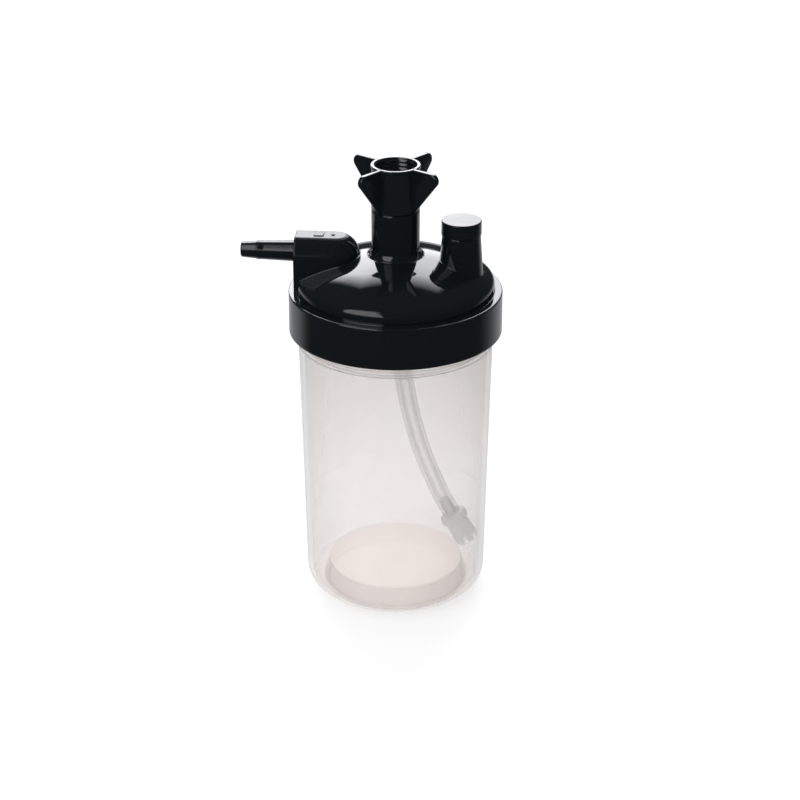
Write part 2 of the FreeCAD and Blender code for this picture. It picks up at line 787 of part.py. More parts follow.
def coil(name, radius, wire, low, high, turns):
    """A compression spring about Z, its wire's outside between two heights."""
    body = new_body(name)
    sketch = new_sketch(body, f"{name}_wire")
    start = FreeCAD.Vector(radius.value, (low + wire / 2).value, 0)
    sketch.addGeometry(Part.Circle(start, FreeCAD.Vector(0, 0, 1), wire.value / 2), False)
    index = sketch.addConstraint(Sketcher.Constraint("Radius", 0, wire.value / 2))
    sketch.setExpression(f"Constraints[{index}]", (wire / 2).text)
    tie(sketch, "DistanceX", 0, 3, radius)
    tie(sketch, "DistanceY", 0, 3, low + wire / 2)
    helix = body.newObject("PartDesign::AdditiveHelix", f"{name}_coil")
    helix.Profile = sketch
    helix.ReferenceAxis = (sketch, ["V_Axis"])
    helix.Mode = "pitch-height-angle"
    bind(helix, "Pitch", (high - low - wire) / turns)
    bind(helix, "Height", high - low - wire)
    return body


# ---- dip tube and diffuser ----
# The tube's route: (x, y, distance below the boss's shoulder), straight out of the boss, then leaning to +X. It is
# drawn for a bore of ROUTE_BORE and a reach of its last drop, and follows both when the cup changes.
ROUTE_BORE = 31.25
route = [
    (0.0, 0.0, 0.0),
    (0.0, 0.0, 10.0),
    (2.4, 0.0, 26.0),
    (5.2, 0.0, 41.5),
    (8.9, 0.0, 55.0),
    (13.3, 0.0, 66.3),
    (17.0, 0.0, 74.8),
    (20.0, 0.0, 80.0),
]


def rounded_path(points):
    """Straight runs joined by tangent arcs, as one wire; prints each arc's radius."""
    edges = []
    here = points[0]
    for before, corner, after in zip(points, points[1:], points[2:]):
        into = (corner - before).normalize()
        out = (after - corner).normalize()
        half_turn = into.getAngle(out) / 2
        setback = 0.45 * min((corner - before).Length, (after - corner).Length)
        radius = setback / math.tan(half_turn)
        print(f"dip tube bend: radius {radius:.1f} mm, turn {math.degrees(2 * half_turn):.1f} degrees")
        first = corner - into * setback
        last = corner + out * setback
        inwards = (out - into).normalize()
        middle = corner + inwards * (radius / math.cos(half_turn) - radius)
        edges.append(Part.LineSegment(here, first).toShape())
        edges.append(Part.Arc(first, middle, last).toShape())
        here = last
    edges.append(Part.LineSegment(here, points[-1]).toShape())
    return Part.Wire(edges)


def swept(path, start, along, radius):
    circle = Part.Wire([Part.Circle(start, along, radius).toShape()])
    return path.makePipeShell([circle], True, True)


def make_dip_tube():
    """The tube is a plain pipe along the route; returns its lower end and the way it points there."""
    shoulder = shoulder_z.value
    across = (cup_top_r - cup_wall).value / ROUTE_BORE
    down = (shoulder_z - tube_low).value / route[-1][2]
    points = [FreeCAD.Vector(x * across, y * across, shoulder - drop * down) for x, y, drop in route]
    path = rounded_path(points)
    along = (points[1] - points[0]).normalize()
    pipe = swept(path, points[0], along, tube_r.value).cut(swept(path, points[0], along, tube_bore.value))
    section = math.pi * (tube_r.value ** 2 - tube_bore.value ** 2)
    print(f"dip tube: {path.Length:.1f} mm long, volume {pipe.Volume:.1f}, "
          f"section times length {section * path.Length:.1f}")
    tube = doc.addObject("Part::Feature", "dip_tube")
    tube.Label = "dip_tube"
    tube.Shape = pipe
    return points[-1], (points[-1] - points[-2]).normalize()


def make_diffuser(end, along):
    """The diffuser is drawn below its flange's upper face on Z, then set on the tube's lower end."""
    soft = edge_soft * 0.8
    stone_r = crown_r - crown_wall
    low = -(flange_long + crown_long)
    head = -flange_long + 0.8
    body = turned("diffuser_body", [
        (spigot_bore, head),
        (spigot_bore, pin_long),
        (tube_bore - soft / 2, pin_long),
        (tube_bore + press, pin_long - soft * 3),
        (tube_bore + press, 0),
        (flange_r - soft, 0),
        (flange_r, -soft),
        (flange_r, -flange_long),
        (crown_r, -flange_long),
        (crown_r, low + soft),
        (crown_r - soft, low),
        (stone_r, low),
        (stone_r, head),
    ])
    sketch = new_sketch(body, "notch_side")
    outline(sketch, [
        (-notch_wide / 2, low - 1),
        (notch_wide / 2, low - 1),
        (notch_wide / 2, low + notch_deep),
        (-notch_wide / 2, low + notch_deep),
    ])
    notch = body.newObject("PartDesign::Pocket", "notch")
    notch.Profile = sketch
    notch.Midplane = True
    bind(notch, "Length", crown_r * 3)
    ring = body.newObject("PartDesign::PolarPattern", "notches")
    ring.Originals = [notch]
    ring.Axis = (body.Group[0], ["V_Axis"])
    ring.Angle = 120
    ring.Occurrences = 3
    body.Tip = ring
    stone = turned("diffuser_stone", [
        (0, low + stone_short),
        (stone_r, low + stone_short),
        (stone_r, head),
        (0, head),
    ])
    turn = FreeCAD.Rotation(FreeCAD.Vector(0, 0, -1), along)
    body.Placement = FreeCAD.Placement(end, turn)
    stone.Placement = FreeCAD.Placement(end, turn)


make_cup()
make_lid()
make_gasket()
make_inlet()
make_nut()
make_relief_valve()
tube_end, tube_way = make_dip_tube()
make_diffuser(tube_end, tube_way)

# ---- output ----
nodes = [
    "cup", "lid", "lid_gasket", "wing_nut", "inlet_nipple", "inlet_washer", "relief_cap", "relief_spring",
    "relief_poppet", "relief_seal", "dip_tube", "diffuser_body", "diffuser_stone",
]
doc.recompute()
for item in doc.Objects:
    if "Invalid" in item.State or "Error" in item.State:
        raise RuntimeError(f"{item.Name} did not rebuild: {item.getStatusString()}")
os.makedirs("parts", exist_ok=True)
for node in nodes:
    piece = next(item for item in doc.Objects if item.Label == node)
    if piece.Shape.isNull() or not piece.Shape.isValid():
        raise RuntimeError(f"{node} has no valid shape")
    piece.Shape.exportStep(f"parts/{node}.step")
    print(f"{node}: {len(piece.Shape.Solids)} solid, {piece.Shape.Volume / 1000:.2f} cm3")
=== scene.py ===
# %% [markdown]
# # A bubble humidifier bottle, dressed around its CAD model
#
# The CAD model gives every rigid piece its true size and place. This file keeps those pieces where
# they are, gives each its finish, and builds again the few pieces that a plain solid can't show
# well: the soft dip tube, the nut with its rounded wings, the castellated plug at the tube's end,
# and the small spring that has to shorten.

# %% Load the frame
import math

import bmesh
import bpy
from mathutils import Matrix, Vector


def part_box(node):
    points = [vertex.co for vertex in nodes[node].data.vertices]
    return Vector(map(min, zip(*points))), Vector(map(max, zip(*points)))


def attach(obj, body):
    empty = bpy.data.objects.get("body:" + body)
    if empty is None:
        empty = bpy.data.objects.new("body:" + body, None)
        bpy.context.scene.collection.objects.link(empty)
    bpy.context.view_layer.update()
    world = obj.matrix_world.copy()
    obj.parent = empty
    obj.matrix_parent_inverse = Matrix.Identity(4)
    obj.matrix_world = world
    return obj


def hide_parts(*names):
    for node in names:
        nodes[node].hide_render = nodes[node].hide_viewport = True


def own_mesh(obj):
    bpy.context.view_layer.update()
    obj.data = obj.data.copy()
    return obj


MM = 0.001
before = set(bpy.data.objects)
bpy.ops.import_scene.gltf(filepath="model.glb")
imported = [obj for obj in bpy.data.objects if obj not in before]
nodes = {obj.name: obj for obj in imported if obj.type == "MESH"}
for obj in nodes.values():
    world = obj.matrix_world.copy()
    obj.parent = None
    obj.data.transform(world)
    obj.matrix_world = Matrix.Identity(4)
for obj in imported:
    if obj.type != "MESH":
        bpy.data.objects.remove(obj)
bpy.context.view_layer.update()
print("CAD nodes:", len(nodes))


# %% [markdown]
# ## The camera
#
# The bottle is seen a little from above, through a long lens, so its upright sides stay nearly
# parallel. The camera looks at a point on the bottle's axis. A camera looks along its own -Z, so
# its turn comes from the direction between the two points.

# %% Camera
AZIMUTH = math.radians(5.0)
ELEVATION = math.radians(25.33)
DISTANCE = 0.6906
AIM = Vector((0.0, 0.0, 0.06924))
SIDE_SHIFT = 0.0055
LENS_MM, SENSOR_MM = 90, 36
FARTHEST = 20


def new_object(name, data):
    """An object that holds the data and is in the scene."""
    made = bpy.data.objects.new(name, data)
    bpy.context.scene.collection.objects.link(made)
    return made


def place_camera():
    back = Vector((math.sin(AZIMUTH) * math.cos(ELEVATION),
                   -math.cos(AZIMUTH) * math.cos(ELEVATION),
                   math.sin(ELEVATION)))
    data = bpy.data.cameras.new("camera")
    data.lens = LENS_MM
    data.sensor_width = SENSOR_MM
    data.shift_x = SIDE_SHIFT
    data.clip_end = FARTHEST
    camera = new_object("camera", data)
    camera.location = AIM + back * DISTANCE
    camera.rotation_euler = (-back).to_track_quat("-Z", "Y").to_euler()
    bpy.context.scene.camera = camera
    return camera


camera = place_camera()
print("camera at, mm:", [round(v / MM) for v in camera.location])


# %% [markdown]
# ## Writing shader maths as sums
#
# A finish is a graph of nodes. Long sums are hard to read as a graph, so a small class wraps a
# socket and lets Python's own signs add the Math nodes. Every other node is made by one function,
# which sets the node's choices first and then its sockets.

# %% A socket that can be added and multiplied
class Wire:
    """One output of a node tree."""

    def __init__(self, tree, socket):
        self.tree = tree
        self.socket = socket

    def maths(self, operation, *values):
        return node(self.tree, "ShaderNodeMath", {"operation": operation}, dict(enumerate(values)))

    def __add__(self, other):
        return self.maths("ADD", self, other)

    def __radd__(self, other):
        return self.maths("ADD", other, self)

    def __sub__(self, other):
        return self.maths("SUBTRACT", self, other)

    def __rsub__(self, other):
        return self.maths("SUBTRACT", other, self)

    def __mul__(self, other):
        return self.maths("MULTIPLY", self, other)

    def __rmul__(self, other):
        return self.maths("MULTIPLY", other, self)

    def __truediv__(self, other):
        return self.maths("DIVIDE", self, other)

    def __pow__(self, other):
        return self.maths("POWER", self, other)

    def larger(self, other):
        return self.maths("MAXIMUM", self, other)

    def between(self, low, high, smooth=True):
        """0 below low, 1 above high, and a ramp from one to the other."""
        kind = "SMOOTHSTEP" if smooth else "LINEAR"
        return node(self.tree, "ShaderNodeMapRange", {"interpolation_type": kind},
                    {"Value": self, "From Min": low, "From Max": high})


def node(tree, kind, choices, values, out=0):
    """Add a node: its choices first, then its sockets, by name or number. Gives one output."""
    made = tree.nodes.new(kind)
    for name, choice in choices.items():
        setattr(made, name, choice)
    for name, value in values.items():
        if isinstance(value, Wire):
            tree.links.new(value.socket, made.inputs[name])
        else:
            made.inputs[name].default_value = value
    return Wire(tree, made.outputs[out]) if len(made.outputs) else made


# %% [markdown]
# Two more helpers: a mix of two colours, which a Math node can't do because it turns a colour grey,
# and the split of a place into its three numbers.

# %% Colours and the three numbers of a place
def mix(tree, share, first, second):
    """A colour between two, by a share from 0 to 1."""
    return node(tree, "ShaderNodeMix", {"data_type": "RGBA"}, {0: share, 6: first, 7: second},
                out=2)


def shade(value):
    """A grey or a colour as the four numbers that a colour socket takes."""
    parts = (value,) * 3 if isinstance(value, (int, float)) else tuple(value)
    return (*parts[:3], 1.0)


def darker(colour, share):
    return shade([value * share for value in colour])


def split(tree, place):
    """The x, y and z of a place or a direction."""
    parts = node(tree, "ShaderNodeSeparateXYZ", {}, {0: place}).socket.node.outputs
    return tuple(Wire(tree, parts[letter]) for letter in "XYZ")


print("mid grey as a colour:", shade(0.5))


# %% [markdown]
# ## What every finish shares
#
# Each finish starts from the object's own coordinates, which are metres in the frame of the whole
# bottle, so a pattern has a true size. Layers of noise are used again and again: wide unevenness
# from moulding, a fine skin, and stray scratches from handling. The Bevel node rounds the light on
# sharp CAD edges, as a mould rounds the plastic.

# %% The parts of a finish
SCRATCH_STRETCH = 0.03
SCRATCH_HALF_WIDTH = 0.012


def new_finish(name):
    material = bpy.data.materials.new(name)
    material.use_nodes = True
    material.node_tree.nodes.clear()
    return material, material.node_tree


def here(tree):
    return node(tree, "ShaderNodeTexCoord", {}, {}, out="Object")


def noise(tree, place, grain_mm, detail=2.0, rough=0.5):
    """Noise whose blotches are about grain_mm across."""
    return node(tree, "ShaderNodeTexNoise", {},
                {"Vector": place, "Scale": 1000 / grain_mm, "Detail": detail, "Roughness": rough})


def stretched(tree, place, sizes, turn=(0, 0, 0)):
    return node(tree, "ShaderNodeMapping", {}, {"Vector": place, "Scale": sizes, "Rotation": turn})


def scratches(tree, place, turn, amount):
    """Thin lines in one direction, broken up by a wide noise. 1 on a scratch, 0 elsewhere."""
    lines = noise(tree, stretched(tree, place, (1.0, SCRATCH_STRETCH, 1.0), turn), 1.1, 1.0)
    thin = 1 - lines.maths("ABSOLUTE", lines - 0.5).between(0.0, SCRATCH_HALF_WIDTH)
    patches = noise(tree, place, 14.0).between(0.52, 0.66)
    return thin * patches * amount


def soft_normal(tree, radius_mm, height, distance_mm):
    """A surface whose edges are rounded in the light, with a bump on top."""
    edge = node(tree, "ShaderNodeBevel", {"samples": 6}, {"Radius": radius_mm * MM})
    return node(tree, "ShaderNodeBump", {},
                {"Height": height, "Distance": distance_mm * MM, "Normal": edge})


def surface(tree, values):
    """The shader that most pieces end in, joined to the material's output."""
    shader = node(tree, "ShaderNodeBsdfPrincipled", {}, values)
    node(tree, "ShaderNodeOutputMaterial", {}, {"Surface": shader})


def tell(*materials):
    for material in materials:
        print(f"{material.name}: {len(material.node_tree.nodes)} nodes")


# %% [markdown]
# ## Glossy black plastic
#
# The lid, the nut and the relief valve's cap are moulded in black plastic with a mirror finish.
# Almost all of what is seen on them is a reflection, so the base is nearly black and the work is in
# the skin: a faint waviness that bends long reflections, a polish that is not quite even, dust, and
# a few hair scratches. One place differs. The flat top of the outlet's housing is matt, so a mask
# finds it by its height and its distance along the outlet.

# %% Black finishes
HOUSING_TOP = 0.1293
HOUSING_ENDS = (-13 * MM, -11 * MM)
HOUSING_STEP = (HOUSING_TOP - 0.6 * MM, HOUSING_TOP - 0.4 * MM)
BLACK_IOR = 1.53
DUST = shade(0.05)


def black_plastic(name, base, polish, edge_mm, wave_mm, wear, shine=0.5, matt=None):
    material, tree = new_finish(name)
    place = here(tree)
    waves = noise(tree, place, wave_mm, 1.0)
    skin = noise(tree, place, 0.35, 3.0)
    one_way = scratches(tree, place, (0.3, 0.2, 0.9), wear)
    other_way = scratches(tree, place, (1.1, 0.4, -0.6), wear)
    hair = one_way.larger(other_way)
    smears = noise(tree, place, 11.0, 4.0, 0.6).between(0.45, 0.75)
    roughness = polish + smears * 0.035 + hair * 0.25
    if matt:
        roughness = roughness + matt(tree, place) * 0.30
    height = waves * 0.9 + skin * 0.02 - hair * 0.05
    dust = noise(tree, place, 0.5, 1.0).between(0.74, 0.8) * 0.25
    surface(tree, {
        "Base Color": mix(tree, dust, shade(base), DUST),
        "Roughness": roughness,
        "IOR": BLACK_IOR,
        "Specular IOR Level": shine,
        "Normal": soft_normal(tree, edge_mm, height, 0.1),
    })
    return material


def housing_top(tree, place):
    """1 on the flat top of the outlet's housing and 0 elsewhere."""
    x, _, z = split(tree, place)
    return (1 - x.between(*HOUSING_ENDS)) * z.between(*HOUSING_STEP)


lid_black = black_plastic("lid_black", (0.0040, 0.0056, 0.0066), polish=0.045, edge_mm=0.8,
                          wave_mm=22.0, wear=0.5, matt=housing_top)
nut_black = black_plastic("nut_black", (0.0042, 0.0060, 0.0070), polish=0.06, edge_mm=0.3,
                          wave_mm=12.0, wear=0.7, shine=0.7)
cap_black = black_plastic("cap_black", (0.0045, 0.0065, 0.0075), polish=0.07, edge_mm=0.3,
                          wave_mm=9.0, wear=0.5, shine=0.36)
tell(lid_black, nut_black, cap_black)


# %% [markdown]
# ## Milky, see-through plastic
#
# The cup is thin polypropylene. It lets most of the light straight through and scatters the rest,
# and it looks denser where the eye looks along the wall. Glass shaders throw dark shadows inside a
# closed cup. So a Mix Shader's factor sets how much of the wall is there at all, and that share is
# milk: half lit from in front, half lit from behind.

# %% A milky veil
GLOW_THROUGH = 0.5


def veil(tree, density, values, glow_through=GLOW_THROUGH):
    """Milky plastic: part see-through, part lit from in front and part lit from behind."""
    clear = node(tree, "ShaderNodeBsdfTransparent", {}, {"Color": shade(1.0)})
    skin = node(tree, "ShaderNodeBsdfPrincipled", {}, values)
    through = node(tree, "ShaderNodeBsdfTranslucent", {},
                   {"Color": values["Base Color"], "Normal": values["Normal"]})
    milk = node(tree, "ShaderNodeMixShader", {}, {0: glow_through, 1: skin, 2: through})
    whole = node(tree, "ShaderNodeMixShader", {}, {0: density, 1: clear, 2: milk})
    node(tree, "ShaderNodeOutputMaterial", {}, {"Surface": whole})


def facing_away(tree):
    """0 where a surface is seen square on, rising to 1 along its silhouette."""
    return node(tree, "ShaderNodeLayerWeight", {}, {"Blend": 0.5}, out="Facing")


# %% [markdown]
# ## The cup's zones
#
# The plastic gathers where the mould is thick, so some zones of the cup are denser. The raised
# floor and the trough round it also carry painted light, and the step down from it and the bead
# under the lid carry painted shade. Each zone is a mask made from two numbers, the height and the
# distance from the axis.

# %% Masks for the cup
WALL_TAPER = 0.0183


def above(value, low_mm, high_mm):
    return value.between(low_mm * MM, high_mm * MM)


def below(value, low_mm, high_mm):
    return 1 - above(value, low_mm, high_mm)


def band(height, middle_mm, half_mm, soft_mm):
    """1 within half of a height and 0 beyond, with a soft edge."""
    away = height.maths("ABSOLUTE", height - middle_mm * MM)
    return 1 - away.between(half_mm * MM - soft_mm * MM, half_mm * MM + soft_mm * MM)


def cup_zones(tree, place):
    x, y, z = split(tree, place)
    out = (x * x + y * y) ** 0.5
    return {
        "bead_line": band(z, 92.7, 0.35, 0.15).larger(band(z, 94.7, 0.25, 0.15) * 0.5),
        "raised": below(z, 8.3, 8.9) * below(out, 23.3, 23.7),
        "riser": below(z, 8.0, 8.3) * above(out, 23.0, 23.5) * below(out, 25.1, 25.6),
        "trough": below(z, 2.5, 5.0) * above(out, 25.2, 25.8) * below(out, 28.4, 29.2),
        "outer": above(out - z * WALL_TAPER, 30.2, 30.6),
        "upper": above(z, 20, 95),
    }


# %% [markdown]
# ## The cup's finish
#
# The density of the veil is a sum over the zones, with a wide cloud and upright flow marks from
# the mould. The colour is a warm white, a little greyer along the silhouette, warm and painted
# brighter on the floor and the trough as if lit from below, and with grey painted shade on the bead
# line and the step.

# %% Cup finish
WALL_WARM, WALL_PALE = shade((0.72, 0.675, 0.635)), shade((0.75, 0.69, 0.645))
WALL_EDGE = shade((0.68, 0.68, 0.68))
# Painted light: the raised floor and the trough get a warm tint and are painted brighter, as if lit
# from below.
FLOOR_WARM_PAINTED_LIGHT = shade((1.0, 0.93, 0.89))
# Painted shade: the bead line and the step down from the raised floor are painted grey.
BEAD_PAINTED_SHADE = shade((0.42, 0.42, 0.43))


def cup_density(zones, facing, cloud, flow):
    return (0.20 + zones["upper"] * 0.10 + zones["outer"] * facing ** 2.2 * 0.30
            + (cloud - 0.5) * 0.07 + (flow - 0.5) * 0.05 + zones["bead_line"] * 0.30
            + zones["raised"] * 0.24 + zones["riser"] * 0.16 + zones["trough"] * 0.12)


def cup_tint(tree, zones, facing, cloud):
    wall = mix(tree, cloud.between(0.35, 0.65), WALL_WARM, WALL_PALE)
    wall = mix(tree, facing.between(0.45, 0.85) * zones["outer"], wall, WALL_EDGE)
    # Painted light on the raised floor and the trough.
    with_floor_light = mix(tree, zones["raised"].larger(zones["trough"]), wall, FLOOR_WARM_PAINTED_LIGHT)
    # Painted shade on the bead line and the riser.
    return mix(tree, (zones["bead_line"] * 0.8).larger(zones["riser"] * 0.5), with_floor_light, BEAD_PAINTED_SHADE)


def cup_finish():
    material, tree = new_finish("cup_polypropylene")
    place = here(tree)
    zones = cup_zones(tree, place)
    facing = facing_away(tree)
    cloud = noise(tree, place, 30.0, 2.0)
    flow = noise(tree, stretched(tree, place, (1.0, 1.0, 0.2)), 9.0, 3.0)
    skin = noise(tree, place, 0.6, 3.0)
    veil(tree, cup_density(zones, facing, cloud, flow), {
        "Base Color": cup_tint(tree, zones, facing, cloud),
        "Roughness": 0.26 + flow * 0.12,
        "IOR": 1.49,
        "Normal": soft_normal(tree, 0.1, flow * 0.6 + skin * 0.03, 0.04),
    })
    return material


cup_clear = cup_finish()
tell(cup_clear)


# %% [markdown]
# ## Soft clear tube and frosted plug
#
# The tube is clear vinyl, nearly invisible seen square on, with a brighter line along each edge and
# a greyer side away from the light. The plug is the same idea but frosted, so it is nearly opaque.
# A renderer follows a ray through only a few clear layers, and the plug sits behind many of them.

# %% Tube and plug finishes
SOFT_IOR = 1.5


def clear_soft_finish(name, base, thin, thick, grain_mm, edge_mm, shaded=0.0):
    """Soft plastic, denser along its edges and, by the share in shaded, on its shaded side."""
    material, tree = new_finish(name)
    place = here(tree)
    facing = facing_away(tree)
    haze = noise(tree, place, grain_mm, 3.0)
    way = node(tree, "ShaderNodeNewGeometry", {}, {}, out="Normal")
    right = split(tree, way)[0].between(0.25, 0.7) * shaded
    plain = mix(tree, haze, shade(base), darker(base, 0.93))
    density = thin + facing ** 2.0 * (thick - thin) + (haze - 0.5) * 0.06 + right * 0.2
    veil(tree, density, {
        "Base Color": mix(tree, right, plain, darker(base, 0.6)),
        "Roughness": 0.18 + haze * 0.12,
        "IOR": SOFT_IOR,
        "Normal": soft_normal(tree, edge_mm, haze, 0.08),
    })
    return material


tube_clear = clear_soft_finish("tube_vinyl", (0.82, 0.815, 0.81), thin=0.09, thick=0.28,
                               grain_mm=4.0, edge_mm=0.1, shaded=1.0)
diffuser_clear = clear_soft_finish("diffuser_frosted", (0.93, 0.935, 0.94), thin=0.97, thick=1.0,
                                   grain_mm=2.0, edge_mm=0.25)
tell(tube_clear, diffuser_clear)


# %% [markdown]
# ## The diffuser's stone
#
# The stone is sintered from small beads, so a Voronoi pattern gives it its pores. It is thin and
# pale, and little of it is seen through the plug.

# %% Stone finish
BEADS_PER_METRE = 3200.0


def stone_finish():
    material, tree = new_finish("stone_sintered")
    place = here(tree)
    beads = node(tree, "ShaderNodeTexVoronoi", {}, {"Vector": place, "Scale": BEADS_PER_METRE},
                 out="Distance")
    pores = beads.between(0.25, 0.6)
    # Painted shade: the pores between the beads are painted a darker grey.
    veil(tree, 0.09 + pores * 0.05, {
        "Base Color": mix(tree, pores, shade((0.92, 0.92, 0.91)), shade((0.62, 0.61, 0.60))),
        "Roughness": 0.85,
        "Normal": soft_normal(tree, 0.1, 1 - pores, 0.2),
    }, glow_through=0.6)
    return material


stone_white = stone_finish()
tell(stone_white)


# %% [markdown]
# ## The pieces inside the lid
#
# The seals are milky silicone and the relief valve's poppet is white acetal. Both are plain
# plastics with a faint cloud. The spring is drawn steel wire, so its colour and its roughness run
# in streaks along the way that it was drawn.

# %% Seal, poppet and spring finishes
def plain_plastic(name, base, polish, grain_mm):
    material, tree = new_finish(name)
    place = here(tree)
    cloud = noise(tree, place, grain_mm, 3.0)
    surface(tree, {
        "Base Color": mix(tree, cloud, shade(base), darker(base, 0.88)),
        "Roughness": polish + cloud * 0.12,
        "Normal": soft_normal(tree, 0.12, cloud, 0.04),
    })
    return material


def spring_finish():
    material, tree = new_finish("spring_steel_wire")
    place = here(tree)
    draw = noise(tree, stretched(tree, place, (1.0, 1.0, 6.0)), 0.4, 3.0)
    surface(tree, {
        "Base Color": mix(tree, draw, shade((0.55, 0.54, 0.52)), shade((0.38, 0.38, 0.38))),
        "Metallic": 1.0,
        "Roughness": 0.22 + draw * 0.2,
        "Normal": soft_normal(tree, 0.05, draw, 0.01),
    })
    return material


poppet_white = plain_plastic("poppet_acetal", (0.78, 0.78, 0.76), polish=0.3, grain_mm=3.0)
seal_milky = plain_plastic("seal_silicone", (0.70, 0.70, 0.68), polish=0.45, grain_mm=2.0)
spring_wire = spring_finish()
tell(poppet_white, seal_milky, spring_wire)


# %% [markdown]
# ## Dressing the CAD pieces
#
# A CAD node keeps its shape and its place, and only what is in its material slots changes. The
# pieces that are built again further down get their finish here as well, so no node stays bare.

# %% Give the CAD pieces their finishes
FINISHES = {
    "cup": cup_clear,
    "lid": lid_black,
    "wing_nut": nut_black,
    "inlet_nipple": nut_black,
    "relief_cap": cap_black,
    "lid_gasket": seal_milky,
    "inlet_washer": seal_milky,
    "relief_seal": seal_milky,
    "relief_poppet": poppet_white,
    "relief_spring": spring_wire,
    "dip_tube": tube_clear,
    "diffuser_body": diffuser_clear,
    "diffuser_stone": stone_white,
}

for name, material in FINISHES.items():
    for place in nodes[name].material_slots:
        place.material = material
print("finishes given:", len(FINISHES), "of", len(nodes))


# %% [markdown]
# ## Meshes from rings
#
# The tube and the turned bodies are both rings of points, joined each to the next and the last to
# the first, so that they close on themselves. After that, every mesh is mended in the same way:
# doubles are merged, faces are turned outwards, and only real edges stay sharp.

# %% Ring meshes
SHARP = math.radians(40)
MERGE_GAP = 0.002 * MM


def keep_sharp(mesh):
    mesh.shade_smooth()
    mesh.set_sharp_from_angle(angle=SHARP)


def mend(mesh, gap):
    """Merge points closer than the gap and turn the faces outwards."""
    shape = bmesh.new()
    shape.from_mesh(mesh)
    bmesh.ops.remove_doubles(shape, verts=shape.verts, dist=gap)
    bmesh.ops.recalc_face_normals(shape, faces=shape.faces)
    shape.to_mesh(mesh)
    shape.free()
    keep_sharp(mesh)


def ring_mesh(name, points, rings, sides):
    """A closed shell from rings of points."""
    faces = []
    for ring in range(rings):
        low, high = ring * sides, (ring + 1) % rings * sides
        for step in range(sides):
            after = (step + 1) % sides
            faces.append((low + step, low + after, high + after, high + step))
    mesh = bpy.data.meshes.new(name)
    mesh.from_pydata([tuple(point) for point in points], [], faces)
    mend(mesh, MERGE_GAP)
    return mesh


def place_piece(mesh, material, body, slot, *replaced):
    """Put a finished mesh on a body, and hide the CAD nodes that it stands for. The slot is not
    used.
    """
    piece = new_object(mesh.name, mesh)
    mesh.materials.clear()
    mesh.materials.append(material)
    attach(piece, body)
    if replaced:
        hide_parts(*replaced)
    print(f"{mesh.name}: {len(mesh.polygons)} faces")
    return piece


# %% [markdown]
# ## The dip tube
#
# The tube is soft vinyl, pushed over a spigot under the lid. It keeps a gentle set from the coil
# that it was cut from, so it leans to one side on its way down. Its route is a few points, in
# millimetres, and a NURBS spline runs smoothly between them.

# %% The route of the dip tube
TUBE_ROUTE = [(0, 0, 106), (0, 0, 96), (2.4, 0, 80), (5.2, 0, 64.5), (8.9, 0, 51), (13.3, 0, 39.7),
              (17, 0, 31.2), (20, 0, 26)]
TUBE_OUTSIDE = 3.15 * MM
TUBE_INSIDE = 2.0 * MM


def smooth_route(points):
    """The points along a NURBS spline whose control points are the route's."""
    curve = bpy.data.curves.new("tube_route", "CURVE")
    curve.dimensions = "3D"
    curve.resolution_u = 10
    spline = curve.splines.new("NURBS")
    spline.points.add(len(points) - 1)
    for knot, point in zip(spline.points, points):
        knot.co = (*[value * MM for value in point], 1.0)
    spline.order_u = 3
    spline.use_endpoint_u = True
    guide = new_object("tube_route", curve)
    line = bpy.data.meshes.new_from_object(guide)
    along = [vertex.co.copy() for vertex in line.vertices]
    bpy.data.objects.remove(guide)
    bpy.data.meshes.remove(line)
    return along


tube_path = smooth_route(TUBE_ROUTE)
run = sum((b - a).length for a, b in zip(tube_path, tube_path[1:]))
print(f"tube: {len(tube_path)} points, {run / MM:.1f} mm")


# %% [markdown]
# ## The tube's two walls
#
# The wall is clear, so both its faces are seen and both are built: rings along the route down the
# outside, and back up the inside. The route bends in one plane, so one direction square to it never
# changes, and the rings can't twist.

# %% Rings along the route
TUBE_SIDES = 40


def frames_along(path):
    """At each point of the path: the point and two directions square to it."""
    side = Vector((0, 1, 0))
    for number, point in enumerate(path):
        before = path[max(number - 1, 0)]
        after = path[min(number + 1, len(path) - 1)]
        ahead = (after - before).normalized()
        yield point, side, ahead.cross(side)


def tube_mesh(name, path, outside, inside):
    places = list(frames_along(path))
    rings = [(place, outside) for place in places]
    rings += [(place, inside) for place in reversed(places)]
    points = []
    for (point, first, second), radius in rings:
        for step in range(TUBE_SIDES):
            turn = math.tau * step / TUBE_SIDES
            points.append(point + (first * math.cos(turn) + second * math.sin(turn)) * radius)
    return ring_mesh(name, points, len(rings), TUBE_SIDES)


tube = place_piece(tube_mesh("soft_dip_tube", tube_path, TUBE_OUTSIDE, TUBE_INSIDE),
                   tube_clear, "lid", "soft_tube", "dip_tube")


# %% [markdown]
# ## Pieces turned on a lathe
#
# The nut and the diffuser's plug are round bodies, so each is turned from a profile: a few corners
# in millimetres, where a third number is the radius of a rounded corner.

# %% Turning a profile
ARC_STEPS = 5
LONGEST_SHARE = 0.48    # an arc takes less than half of each side that it joins


def turned_mesh(name, profile, sides=128):
    """A closed ring from a closed profile of (radius, height)."""
    points = []
    for radius, height in profile:
        for step in range(sides):
            turn = math.tau * step / sides
            points.append((radius * MM * math.cos(turn), radius * MM * math.sin(turn), height * MM))
    return ring_mesh(name, points, len(profile), sides)


